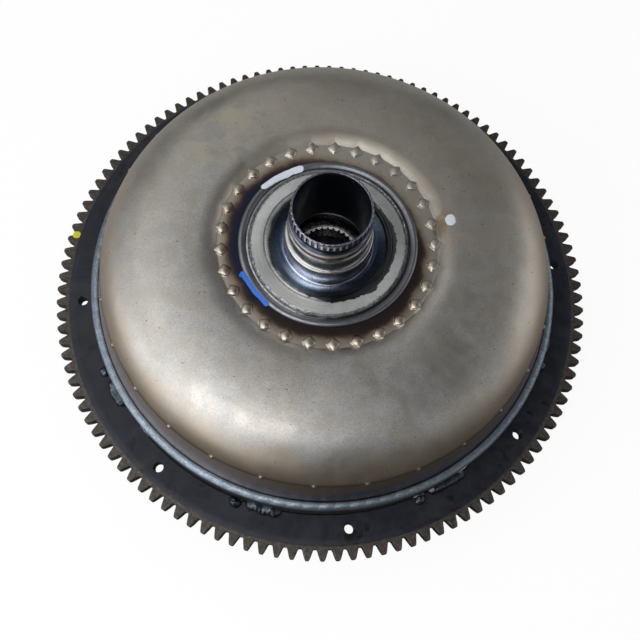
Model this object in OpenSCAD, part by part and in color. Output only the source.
// Torque converter with a starter ring-gear plate: every shell, wheel, race,
// blade set and weld is its own solid.
// Axis of rotation is Z. z = 0 is the engine-side face of the ring-gear plate
// and the neck of the impeller hub points to +Z.

/* [Ring gear plate] */
// Number of starter teeth on the rim of the plate
gear_teeth = 119; // [118:1:120]
// Module of the starter teeth
gear_module = 2.5; // [2.49:0.01:2.52]
// Thickness of the plate
plate_t = 8; // [7:0.5:8]
// Number of threaded drive holes in the plate
drive_holes = 8; // [4:1:12]
// Pitch circle diameter of the drive holes
drive_pcd = 272; // [270:1:274]
// Core radius of a drive hole, for an M6 thread
drive_hole_r = 2.5; // [2:0.1:3]

/* [Casing] */
// Outer radius of the front cover wall
cover_r = 128.5; // [128:0.5:128.5]
// Sheet thickness of the front cover
cover_t = 3.9; // [3.5:0.1:3.9]
// Sheet thickness of the impeller shell
shell_t = 3.2; // [2.8:0.1:3.3]
// Height of the crown of the impeller dome above the engine face
crown_z = 69.7; // [69.5:0.1:69.9]
// Number of impeller blades, and of pressed dimples in each row
impeller_blade_count = 29; // [27:1:31]
// Twist of an impeller blade from its inner to its outer dimple, degrees
impeller_sweep = 6.97; // [4:0.1:8]

/* [Hub] */
// Radius of the bore through the hub neck
hub_bore_r = 18.15; // [17.8:0.05:18.3]
// Radius of the upper journal of the neck
journal_r = 21; // [20.8:0.1:21.2]
// Radius of the lower seal journal of the neck
seal_r = 22.3; // [22:0.1:22.5]
// Height of the rim of the neck above the engine face
neck_top = 104.8; // [103:0.2:108]
// Number of notches that drive the pump, round the rim
notch_count = 42; // [36:2:48]

/* [Turbine and stator] */
// Number of turbine blades
turbine_blade_count = 31; // [29:1:33]
// Number of stator blades
stator_blade_count = 19; // [15:1:21]
// Number of rollers in the one-way clutch
roller_count = 12; // [10:1:12]
// Number of teeth in the spline of the inner race
race_spline = 34; // [30:1:36]
// Number of teeth in the spline of the turbine hub
turbine_spline = 24; // [20:1:26]

/* [Lock-up clutch] */
// Number of damper springs
spring_count = 6; // [4:1:6]
// Free travel of the piston before the lining meets the cover
piston_gap = 1; // [0.6:0.1:1.2]
// Width of the friction lining
lining_w = 17.5; // [12:0.5:18]

/* [Hidden] */
$fn = 96;
small_fn = 24; // facets of pins and small holes
gap = 0.05;    // fit between two pieces that are fixed together

steel = [0.62, 0.60, 0.57];
dark = [0.14, 0.15, 0.17];
bright = [0.75, 0.76, 0.78];
weld_grey = [0.50, 0.52, 0.56];
alloy = [0.78, 0.79, 0.80];
bronze = [0.70, 0.54, 0.32];
rubber = [0.12, 0.12, 0.12];
spring_grey = [0.45, 0.47, 0.50];
lining_brown = [0.36, 0.28, 0.19];

// ---- helpers ----
// Outlines given to rotate_extrude are lists of [radius, z] points.
function reverse(list) = [for (i = [len(list) - 1 : -1 : 0]) list[i]];
function polar(r, angle) = [r * cos(angle), r * sin(angle)];

// points of an ellipse arc, moved inwards by depth, square to the curve
function arc(mid_r, mid_z, half_w, half_h, from, to, steps, depth = 0) =
  [for (i = [0 : steps])
    let (t = from + (to - from) * i / steps, normal = [half_h * cos(t), half_w * sin(t)])
    [mid_r + half_w * cos(t), mid_z + half_h * sin(t)] - depth * normal / norm(normal)];

module ring(in_r, out_r, z0, z1) {
  difference() {
    translate([0, 0, z0]) cylinder(r = out_r, h = z1 - z0);
    translate([0, 0, z0 - 1]) cylinder(r = in_r, h = z1 - z0 + 2);
  }
}

module around(count, start = 0) {
  for (i = [0 : count - 1]) rotate([0, 0, start + i * 360 / count]) children();
}

// upright cylinder at distance x from the axis
module pin(x, r, z0, z1, sides = small_fn) {
  translate([x, 0, z0]) cylinder(r = r, h = z1 - z0, $fn = sides);
}

// part of a turned body, centred on the X axis
module sector(angle) {
  rotate([0, 0, -angle / 2]) rotate_extrude(angle = angle) children();
}

// cutter for an internal spline, tip_r at the teeth and root_r in the grooves
module spline_outline(count, tip_r, root_r) {
  pitch = 360 / count;
  polygon([for (i = [0 : count - 1])
    each [polar(tip_r, i * pitch), polar(tip_r, (i + 0.5) * pitch),
      polar(root_r, (i + 0.62) * pitch), polar(root_r, (i + 0.88) * pitch)]]);
}

// ---- front cover and pilot ----
cover_in_z = -8.5;                 // inner face of the cover at the lining
cover_out_z = cover_in_z - cover_t;
cover_dish = 1.5;                  // depth of the pressed middle towards the engine
cover_face_z = cover_out_z - cover_dish;
cover_bend_r = 10;
cover_rim_z = 23;
pilot_r = 17.5;                    // boss that centres the converter in the crankshaft
pilot_seat_z = cover_face_z - gap;

function cover_bend(from, to, inset) =
  arc(cover_r - cover_bend_r, cover_out_z + cover_bend_r,
    cover_bend_r - inset, cover_bend_r - inset, from, to, 8);

module front_cover() color(dark)
  rotate_extrude() polygon(concat(
    [[0, cover_face_z], [55, cover_face_z], [61, cover_out_z]],
    cover_bend(-90, 0, 0),
    [[cover_r, cover_rim_z], [cover_r - cover_t, cover_rim_z]],
    cover_bend(0, -90, cover_t),
    [[61.5, cover_in_z], [55.5, cover_in_z - cover_dish], [0, cover_in_z - cover_dish]]));

module pilot_boss() color(steel)
  rotate_extrude() polygon([[0, pilot_seat_z], [0, -18], [9.5, -18], [10.5, -24],
    [pilot_r - 1.2, -24], [pilot_r, -22.8], [pilot_r, -17], [pilot_r - 0.4, -16.8],
    [pilot_r - 0.4, -16.3], [pilot_r + 0.3, -16.1], [pilot_r + 0.3, pilot_seat_z]]);

module pilot_weld() color(weld_grey) {
  root_r = pilot_r + 0.35;
  bead_w = 2.9;
  bead_h = 2.1;
  rotate_extrude() polygon(concat(
    [[root_r, pilot_seat_z], [root_r, pilot_seat_z - bead_h]],
    arc(root_r, pilot_seat_z, bead_w, bead_h, -80, -5, 5),
    [[root_r + bead_w, pilot_seat_z]]));
}

// ---- ring gear plate ----
tooth_az = -2.806;                 // direction of the first tooth
hole_az = 11.2;                    // direction of the first drive hole
hole_chamfer = 0.46;
pressure_angle = 20;
gear_pitch_r = gear_module * gear_teeth / 2;
gear_tip_r = gear_pitch_r + gear_module;
gear_root_r = gear_pitch_r - 1.25 * gear_module;
gear_base_r = gear_pitch_r * cos(pressure_angle);

// involute of an angle, in degrees
function involute(angle) = tan(angle) * 180 / PI - angle;
// half the angle that a tooth fills at radius r, thinned to 97 % for backlash
function half_tooth(r) = 90 / gear_teeth * 0.97
  + involute(pressure_angle) - involute(acos(min(1, gear_base_r / r)));

module tooth_outline() {
  flank = [for (i = [0 : 3]) gear_root_r + (gear_tip_r - gear_root_r) * i / 3];
  polygon([for (k = [0 : gear_teeth - 1])
    let (middle = tooth_az + k * 360 / gear_teeth)
    each concat(
      [for (r = flank) polar(r, middle - half_tooth(r))],
      [for (r = reverse(flank)) polar(r, middle + half_tooth(r))])]);
}

module drive_hole() {
  wide_r = drive_hole_r + hole_chamfer;
  translate([0, 0, -1]) cylinder(r = drive_hole_r, h = plate_t + 2);
  translate([0, 0, -0.01]) cylinder(r1 = wide_r, r2 = drive_hole_r, h = hole_chamfer);
  translate([0, 0, plate_t - hole_chamfer + 0.01])
    cylinder(r1 = drive_hole_r, r2 = wide_r, h = hole_chamfer);
}

module ring_gear_plate() color(dark)
  difference() {
    intersection() {
      translate([0, 0, -1]) linear_extrude(plate_t + 2) tooth_outline();
      // turned blank: the teeth are relieved on the neck side and broken on the other
      rotate_extrude() polygon([[cover_r - 5, 0], [gear_tip_r - 1.3, 0],
        [gear_tip_r + 0.6, 1.1], [gear_tip_r + 0.6, plate_t - 1.9],
        [gear_tip_r - 0.8, plate_t - 1.0], [gear_root_r - 1.4, plate_t - 0.55],
        [gear_root_r - 1.9, plate_t], [cover_r - 5, plate_t]]);
    }
    translate([0, 0, -1]) cylinder(r = cover_r + 0.1, h = plate_t + 2);
    around(drive_holes, hole_az) translate([drive_pcd / 2, 0, 0]) drive_hole();
  }

// short fillet beads that hold the plate to the cover wall
module plate_welds() color(weld_grey)
  around(8, -100) sector(12) translate([cover_r + gap, plate_t + gap])
    polygon([[0, 0], [3.2, 0], [3.0, 1.2], [2.2, 2.3], [1.1, 3.1], [0, 3.4]]);

module seam_weld() color(weld_grey)
  rotate_extrude() polygon([[124.56, cover_rim_z + gap], [cover_r - 0.1, cover_rim_z + gap],
    [cover_r - 0.15, 23.9], [127.5, 25.0], [126.2, 25.7], [125.0, 25.9], [124.2, 25.8],
    [124.17, 25.2], [124.56, 23.42]]);

// ---- impeller shell ----
foot_r = 57;                       // edge of the flat ring round the hub
flat_z = 66.1;                     // outer face of that ring
flat_in_z = 62.8;                  // its inner face
crown_r = 68.5;                    // radius of the crown of the dome
shoulder_r = 95;                   // where the shoulder of the dome starts
top_fall = 0.21;                   // outward fall of the dome there
shoulder_w = 24.6;                 // width of the shoulder
shoulder_h = 19.04;                // fall of the shoulder
shoulder_end = 81.1;               // angle at which the shoulder ends in the crease
skirt_r = 124.5;
skirt_z = 12;                      // engine-side edge of the skirt
inner_dimple_az = 104.29;          // direction of the first inner dimple
outer_dimple_az = inner_dimple_az + impeller_sweep;
outer_dimple_r = 119;

// the point [r, z] moved depth under a face that falls outwards with the given slope
function under(r, z, fall, depth) = [r, z] - depth * [fall, 1] / norm([fall, 1]);
// a point of the dome between the flat ring and the shoulder
function dome(r, depth) = let (
  fall = r < crown_r
    ? -2 * (crown_z - flat_z) * (crown_r - r) / pow(crown_r - foot_r, 2)
    : top_fall * (r - crown_r) / (shoulder_r - crown_r))
  under(r, crown_z - abs(fall * (r - crown_r)) / 2, fall, depth);
// a point of the shoulder; angle runs from 0 to shoulder_end
function shoulder(angle, depth) = let (
  r = shoulder_r + shoulder_w * sin(angle),
  z = dome(shoulder_r, 0)[1] - top_fall * (r - shoulder_r) - shoulder_h * (1 - cos(angle)))
  under(r, z, top_fall + shoulder_h / shoulder_w * tan(angle), depth);
// dome and shoulder from the flat ring outwards; last = 18 reaches the crease
function dome_line(depth, last = 18) = concat(
  [for (i = [1 : 13]) dome(foot_r + i * (shoulder_r - foot_r) / 14, depth)],
  [for (i = [0 : last]) shoulder(shoulder_end * i / 18, depth)]);

module impeller_shell() color(steel) {
  rotate_extrude() polygon(concat(
    [[skirt_r, skirt_z], [skirt_r, 23.4], [124.1, 25.2]],
    reverse(dome_line(0)),
    [[foot_r, flat_z], [46.15, flat_z], [44.2, flat_in_z], [foot_r + 0.75, flat_in_z]],
    dome_line(shell_t),
    [[skirt_r - shell_t, 22], [skirt_r - shell_t, skirt_z]]));
  // square dimples at the edge of the flat ring, round ones on the shoulder
  around(impeller_blade_count, inner_dimple_az) translate([54.5, 0, 65.2])
    rotate([0, -22, 0]) cylinder(r1 = 3.6, r2 = 1.0, h = 2.9, $fn = 4);
  around(impeller_blade_count, outer_dimple_az) translate([outer_dimple_r, 0, 45.3])
    rotate([0, 78, 0]) cylinder(r = 1.5, h = 1.5, $fn = small_fn);
}

// ---- impeller blades and core ring ----
core_r = 84;                       // centre of the ring-shaped core of the flow
core_z = 44;
core_half_w = 17;
core_t = 1;                        // sheet of both core rings
impeller_core_h = 11;
turbine_core_h = 14;
turbine_core_z = core_z - 1.5;
blade_core_gap = 0.2;              // between a blade and its core ring
blade_shell_gap = 0.15;            // between a blade and its shell
sweep_start_r = 54;                // radius at which a blade has no twist

// a curved sheet-metal blade standing along Z, swept round the axis
module blade_sheet(in_r, out_r, sweep, thickness, z0, z1) {
  steps = 5;
  function side(offset) = [for (i = [0 : steps]) let (
    r = in_r + (out_r - in_r) * i / steps,
    az = sweep * (r - sweep_start_r) / (outer_dimple_r - sweep_start_r))
    polar(r, az) + polar(offset, az + 90)];
  translate([0, 0, z0]) linear_extrude(z1 - z0)
    polygon(concat(side(-thickness / 2), reverse(side(thickness / 2))));
}

module impeller_blades() color(steel)
  around(impeller_blade_count, inner_dimple_az) intersection() {
    rotate_extrude() polygon(concat(
      reverse(dome_line(shell_t + blade_shell_gap, 17)),
      [[59.0, 63.2], [66.2, 57.6]],
      arc(core_r, core_z, core_half_w + blade_core_gap, impeller_core_h + blade_core_gap,
        143, 8, 9)));
    blade_sheet(54, 121, impeller_sweep, 1, 44, 78);
  }

// half of the hollow core, a bent sheet between two angles of its ellipse
module core_sheet(mid_z, half_h, from, to) {
  rotate_extrude() polygon(concat(
    arc(core_r, mid_z, core_half_w, half_h, from, to, 14),
    arc(core_r, mid_z, core_half_w - core_t, half_h - core_t, to, from, 14)));
}
module impeller_core_ring() color(steel) core_sheet(core_z, impeller_core_h, 5, 145);
module turbine_core_ring() color(steel)
  core_sheet(turbine_core_z, turbine_core_h, -2, -145);

// ---- impeller hub ----
module impeller_hub() color(bright)
  difference() {
    rotate_extrude() polygon([
      // flange, from the bore outwards and back to the neck
      [hub_bore_r, 62.0], [19.2, 60.8], [35.2, 60.8], [35.2, 60.1], [36.4, 60.1],
      [36.6, 61.5], [43.2, 61.5], [43.9, 62.8], [41.95, 66.2], [39.7, 66.35],
      [39.3, 66.8], [33.2, 66.8], [33.0, 66.0], [31.9, 66.0], [31.6, 66.4],
      [30.6, 66.4], [29.6, 65.6], [seal_r + 1, 64.2], [seal_r + 0.3, 64.3],
      // seal journal
      [seal_r, 64.9], [seal_r, 77.1], [seal_r - 0.4, 77.6],
      // upper journal
      [journal_r - 0.3, 77.9], [journal_r - 0.3, 78.5], [journal_r, 78.9],
      [journal_r, 87.7], [journal_r - 0.2, 88.0], [journal_r - 0.9, 88.5],
      [journal_r - 0.9, 90.0], [journal_r - 0.5, 90.4], [journal_r - 0.5, 92.4],
      [journal_r - 0.7, 95.4],
      // notched rim
      [19.1, 96.6], [19.1, neck_top - 5.9], [19.7, neck_top - 5.2],
      [19.7, neck_top - 0.4], [19.35, neck_top], [hub_bore_r + 0.6, neck_top],
      [hub_bore_r, neck_top - 1.2]]);
    around(notch_count) pin(19.95, 0.8, neck_top - 5.6, neck_top - 0.6);
  }

module hub_weld() color(weld_grey)
  rotate_extrude() polygon([[43.98, 62.9], [44.08, 62.95], [46.08, 66.2], [46.0, 66.9],
    [45.3, 67.6], [44.2, 67.9], [43.0, 67.5], [42.2, 66.8], [42.05, 66.3]]);

// ---- thrust bearings ----
upper_bearing_z = 58.9;            // axes of the needles
lower_bearing_z = 31.5;
race_t = 0.8;
race_offset = 1.05;                // from the needle axes to the face of a race
needle_count = 24;
needle_start_r = 23;
needle_len = 9;

module race(z) ring(20, 35, z, z + race_t);
module race_above(bearing_z) race(bearing_z + race_offset);
module race_below(bearing_z) race(bearing_z - race_offset - race_t);
module cage(z) difference() {
  slot_w = 2.1;
  ring(20.6, 34.4, z - 0.5, z + 0.5);
  around(needle_count) translate([needle_start_r - 0.1, -slot_w / 2, z - 1])
    cube([needle_len + 0.2, slot_w, 2]);
}
module needles(z) around(needle_count) translate([needle_start_r, 0, z])
  rotate([0, 90, 0]) cylinder(r = 0.98, h = needle_len, $fn = small_fn);

module bearing_race_hub() color(bright) race_above(upper_bearing_z);
module bearing_race_stator_top() color(bright) race_below(upper_bearing_z);
module bearing_race_stator_bottom() color(bright) race_above(lower_bearing_z);
module bearing_race_turbine() color(bright) race_below(lower_bearing_z);
module upper_bearing_cage() color(bronze) cage(upper_bearing_z);
module upper_bearing_needles() color(bright) needles(upper_bearing_z);
module lower_bearing_cage() color(bronze) cage(lower_bearing_z);
module lower_bearing_needles() color(bright) needles(lower_bearing_z);

// ---- turbine ----
bowl_r = 83;                       // centre of the turbine bowl
bowl_z = 42.5;
bowl_t = 1.6;
flange_z0 = 21.5;                  // hub flange that carries the bowl
flange_z1 = 26;
bowl_foot_z = flange_z1 + gap;
driven_z0 = 6;                     // driven plate of the damper
driven_z1 = 8;
hub_disc_z0 = driven_z1 + gap;     // hub disc that carries the driven plate
hub_disc_z1 = 10.5;
rivet_count = 12;                  // in each circle
rivet_r = 2;
rivet_hole_r = rivet_r + 0.1;
turbine_rivet_x = 41.5;
driven_rivet_x = 29;
driven_rivet_az = 15;
turbine_hub_r = 22;
hub_foot_z = -7;                   // engine-side end of the turbine hub
groove_r = 20.4;                   // floor of the piston seal groove
groove_z0 = -3;
groove_z1 = -1;

// the bowl is wider outside its lowest circle than inside it
function bowl_outside(from, to, steps, depth = 0) =
  arc(bowl_r, bowl_z, 32, 26.6, from, to, steps, depth);
function bowl_inside(from, to, steps, depth = 0) =
  arc(bowl_r, bowl_z, 30, 26.6, from, to, steps, depth);

module turbine_shell() color(steel)
  difference() {
    rotate_extrude() polygon(concat(
      bowl_outside(0, -90, 14), bowl_inside(-96, -141.8, 7),
      [[36, bowl_foot_z], [36, bowl_foot_z + bowl_t]],
      bowl_inside(-143.4, -96, 7, bowl_t), bowl_outside(-90, 0, 14, bowl_t)));
    around(rivet_count) pin(turbine_rivet_x, rivet_hole_r, 20, 32);
  }

module turbine_blades() color(steel)
  around(turbine_blade_count) intersection() {
    rotate_extrude() polygon(concat(
      bowl_outside(-2, -90, 12, bowl_t + blade_shell_gap),
      bowl_inside(-98, -138, 5, bowl_t + blade_shell_gap),
      arc(core_r, turbine_core_z, core_half_w + blade_core_gap,
        turbine_core_h + blade_core_gap, -143, -4, 9)));
    blade_sheet(56, 118, -14, 0.9, 12, 44);
  }

module turbine_hub() color(bright)
  difference() {
    rotate_extrude() polygon([[5, hub_foot_z], [turbine_hub_r - 0.6, hub_foot_z],
      [turbine_hub_r, hub_foot_z + 0.6], [turbine_hub_r, groove_z0], [groove_r, groove_z0],
      [groove_r, groove_z1], [turbine_hub_r, groove_z1], [turbine_hub_r, hub_disc_z0],
      [34, hub_disc_z0], [34, hub_disc_z1], [24, hub_disc_z1], [24, 20], [26, flange_z0],
      [47, flange_z0], [47, flange_z1], [34.6, flange_z1], [34.6, 29.6], [5, 29.6]]);
    translate([0, 0, -8]) linear_extrude(40) spline_outline(turbine_spline, 10.5, 11.6);
    around(rivet_count) pin(turbine_rivet_x, rivet_hole_r, 15, 27);
    around(rivet_count, driven_rivet_az) pin(driven_rivet_x, rivet_hole_r, 7, 12);
  }

// rivet that clamps everything between z0 and z1
module rivet(x, z0, z1, head_r) {
  head_h = 1.5;
  pin(x, head_r, z0 - head_h, z0, sides = 32);
  pin(x, rivet_r, z0 - 0.5, z1 + 0.5);
  pin(x, head_r, z1, z1 + head_h, sides = 32);
}
module turbine_rivets() color(steel)
  around(rivet_count)
    rivet(turbine_rivet_x, flange_z0 - gap, bowl_foot_z + bowl_t + gap, 3.7);
module driven_plate_rivets() color(steel)
  around(rivet_count, driven_rivet_az)
    rivet(driven_rivet_x, driven_z0 - gap, hub_disc_z1 + gap, 3.5);

module piston_seal() color(rubber)
  ring(groove_r + gap, turbine_hub_r - 0.03, groove_z0 + 0.1, groove_z1 - 0.1);

// washer with radial grooves in its engine-side face
module front_thrust_washer() color(bronze)
  difference() {
    ring(12.5, 21, cover_in_z - cover_dish + 0.1, hub_foot_z - gap);
    around(6) translate([11, -1, -10.5]) cube([12, 2, 1.2]);
  }

// ---- damper ----
spring_r = 101;                    // radius at which the springs lie
spring_z = 7;
spring_len = 50;
damper_t = 1.6;
damper_front_z = 2.4;              // engine-side faces of the two damper plates
damper_rear_z = 10;
spacer_x = 115.5;
spacer_az = 180 / spring_count;

// cutters for the spring windows of a plate between z0 and z1
module windows(half_w, z0, z1) {
  around(spring_count) translate([spring_r - half_w, -spring_len / 2 - 0.1, z0 - 1])
    cube([2 * half_w, spring_len + 0.2, z1 - z0 + 2]);
}

module driven_plate() color(steel)
  difference() {
    ring(turbine_hub_r + 0.1, 113, driven_z0, driven_z1);
    windows(6.9, driven_z0, driven_z1);
    around(rivet_count, driven_rivet_az) pin(driven_rivet_x, rivet_hole_r, 5, 9);
    around(6, 30) pin(60, 9, 5, 9, sides = 48);
  }

module damper_plate(z0) {
  z1 = z0 + damper_t;
  difference() {
    ring(86, 118, z0, z1);
    windows(6.1, z0, z1);
    around(spring_count, spacer_az) pin(spacer_x, 1.6, z0 - 1, z1 + 1);
  }
}
// notched at the rim for the tabs of the piston
module damper_front_plate() color(dark)
  difference() {
    damper_plate(damper_front_z);
    around(spring_count) sector(7.5) translate([114.2, 1]) square([6, 5]);
  }
module damper_rear_plate() color(dark) damper_plate(damper_rear_z);

module damper_spacers() color(steel) {
  head_h = 1.45;
  head_r = 2.3;
  front_head_z = damper_front_z - gap - head_h;
  rear_head_z = damper_rear_z + damper_t + gap;
  around(spring_count, spacer_az) {
    pin(spacer_x, 2.1, damper_front_z + damper_t + gap, damper_rear_z - gap);
    pin(spacer_x, 1.5, front_head_z, rear_head_z + head_h);
    pin(spacer_x, head_r, front_head_z, front_head_z + head_h);
    pin(spacer_x, head_r, rear_head_z, rear_head_z + head_h);
  }
}

// one helical spring along X, as a swept ring of five-sided sections
module coil(length, mean_r, wire_r, turns) {
  steps = 10 * turns;
  sides = 5;
  travel = length - 2 * wire_r;
  points = [for (i = [0 : steps])
    let (turn = 360 * turns * i / steps, x = -length / 2 + wire_r + travel * i / steps)
    for (j = [0 : sides - 1])
      let (b = 360 * j / sides, r = mean_r + wire_r * cos(b))
      [x + wire_r * sin(b), r * cos(turn), r * sin(turn)]];
  walls = [for (i = [0 : steps - 1]) for (j = [0 : sides - 1])
    let (k = (j + 1) % sides, here = i * sides, ahead = here + sides)
    each [[here + j, ahead + j, ahead + k], [here + j, ahead + k, here + k]]];
  polyhedron(points = points, faces = concat(
    [[for (j = [0 : sides - 1]) j]],
    walls,
    [[for (j = [sides - 1 : -1 : 0]) steps * sides + j]]), convexity = 10);
}
module damper_springs() color(spring_grey)
  around(spring_count) translate([spring_r, 0, spring_z]) rotate([0, 0, 90])
    coil(length = spring_len - 0.1, mean_r = 4.9, wire_r = 1.6, turns = 6);

// ---- lock-up piston ----
lining_t = 1.2;
lining_r = 114.5;
piston_z = cover_in_z + piston_gap + lining_t; // engine-side face of the piston plate
piston_back_z = piston_z + 2.5;
piston_bore_r = turbine_hub_r + 0.08;
piston_step = 0.8;                 // offset of the band between r = 66 and r = 88

module lockup_piston() color(steel) {
  tab_z = piston_z + 3;
  rotate_extrude() polygon([[piston_bore_r, piston_z], [60, piston_z],
    [66, piston_z + piston_step], [88, piston_z + piston_step], [93, piston_z],
    [117, piston_z], [117.6, piston_z + 0.6], [117.6, piston_z + 3.4],
    [115.0, piston_z + 3.4], [114.6, piston_back_z], [93, piston_back_z],
    [88, piston_back_z + piston_step], [66, piston_back_z + piston_step],
    [60, piston_back_z], [28, piston_back_z], [26, piston_z + 4.2], [26, 1.5],
    [piston_bore_r, 1.5]]);
  around(spring_count) sector(7.4) translate([115.2, tab_z]) square([2.2, 5 - tab_z]);
}

// lining with radial grooves in its engine-side face
module friction_lining() color(lining_brown)
  difference() {
    ring(lining_r - lining_w, lining_r, piston_z - lining_t, piston_z - gap);
    around(12) translate([90, -1, piston_z - 2]) cube([30, 2, 1.3]);
  }

// ---- stator and one-way clutch ----
stator_in_r = 19.5;
stator_bore_r = 38;                // pocket for the clutch
clutch_r = stator_bore_r - 0.1;    // outer radius of the pieces in the pocket
cap_top_z = 57;                    // neck side of the cap, where the ring groove starts
outer_race_z0 = 37.7;
outer_race_z1 = 53.3;
end_plate_t = 1.55;
inner_race_r = 25;
roller_r = 3;
roller_x = inner_race_r + roller_r + 0.06;

// section of a stator blade, from rounded nose to thin tail
function foil_point(u, chord, thickness) = [chord * (u - 0.5), 0.16 * chord * sin(180 * u)
  + thickness * (2.97 * sqrt(u) - 1.26 * u - 3.52 * u * u + 2.84 * pow(u, 3) - pow(u, 4)) / 2];
function foil(chord, thickness, steps) = concat(
  [for (i = [0 : steps]) foil_point(i / steps, chord, thickness)],
  [for (i = [steps : -1 : 1]) foil_point(i / steps, chord, -thickness)]);

module stator_wheel() color(alloy) {
  rotate_extrude() polygon([[stator_in_r, 33.4], [46, 33.4], [49.5, 36], [49.5, 56],
    [47, 59], [stator_bore_r, 59], [stator_bore_r, 58.1], [39.2, 58.1],
    [39.2, cap_top_z], [stator_bore_r, cap_top_z], [stator_bore_r, 36.0],
    [stator_in_r, 36.0]]);
  ring(66, 68.5, 37, 51);
  intersection() {
    around(stator_blade_count) translate([48, 0, core_z])
      rotate([0, 90, 0]) rotate([0, 0, 32])
        linear_extrude(19.5) polygon(foil(chord = 15.5, thickness = 4.2, steps = 7));
    ring(49, 67, 30, 60);
  }
}

// each pocket is a round seat for the roller and a square one for its spring
module clutch_outer_race() color(bright)
  difference() {
    ring(26.8, clutch_r, outer_race_z0, outer_race_z1);
    around(roller_count) {
      pin(roller_x, roller_r + 0.2, 37, 54, sides = 32);
      translate([24, 0, 37]) cube([8.2, 7.6, 17]);
    }
  }
module clutch_rollers() color(bright)
  around(roller_count)
    pin(roller_x, roller_r, outer_race_z0 + 0.1, outer_race_z1 - 0.1, sides = 32);

// zigzag leaf springs
module clutch_springs() color(steel) {
  in_x = 27.2;
  out_x = 31.4;
  rise = 0.62;
  leaf_t = 0.35;
  around(roller_count) translate([0, 0, 40]) linear_extrude(11)
    for (i = [0 : 5])
      let (x0 = i % 2 == 0 ? in_x : out_x, x1 = in_x + out_x - x0, y = 3.2 + i * rise)
        polygon([[x0, y], [x1, y + rise], [x1, y + rise + leaf_t], [x0, y + leaf_t]]);
}

module clutch_end_plates() color(bronze)
  for (z = [outer_race_z0 - 0.1 - end_plate_t, outer_race_z1 + 0.1])
    ring(inner_race_r + gap, clutch_r, z, z + end_plate_t);
module stator_cap() color(steel) ring(stator_in_r, clutch_r, 55.05, cap_top_z);
module snap_ring() color(dark) {
  opening = 24;
  rotate([0, 0, opening / 2]) rotate_extrude(angle = 360 - opening)
    translate([35.6, cap_top_z + 0.1]) square([3.5, 0.9]);
}

module inner_race() color(bright)
  difference() {
    rotate_extrude() polygon([[5, 36.1], [inner_race_r - 0.6, 36.1], [inner_race_r, 36.7],
      [inner_race_r, 54.3], [inner_race_r - 0.6, 54.9], [5, 54.9]]);
    translate([0, 0, 30]) linear_extrude(30) spline_outline(race_spline, 16.6, 17.6);
    // counterbore and lead-in on the neck side
    translate([0, 0, 46]) cylinder(r = 18, h = 12);
    translate([0, 0, 45.2]) cylinder(r1 = 16.6, r2 = 17.5, h = 0.9);
  }

front_cover();
pilot_boss();
pilot_weld();
ring_gear_plate();
plate_welds();
seam_weld();
impeller_shell();
impeller_blades();
impeller_core_ring();
impeller_hub();
hub_weld();
bearing_race_hub();
turbine_shell();
turbine_blades();
turbine_core_ring();
turbine_hub();
turbine_rivets();
driven_plate();
driven_plate_rivets();
piston_seal();
front_thrust_washer();
bearing_race_turbine();
damper_front_plate();
damper_rear_plate();
damper_spacers();
damper_springs();
lockup_piston();
friction_lining();
stator_wheel();
clutch_outer_race();
clutch_rollers();
clutch_springs();
clutch_end_plates();
stator_cap();
snap_ring();
bearing_race_stator_top();
bearing_race_stator_bottom();
inner_race();
upper_bearing_cage();
upper_bearing_needles();
lower_bearing_cage();
lower_bearing_needles();
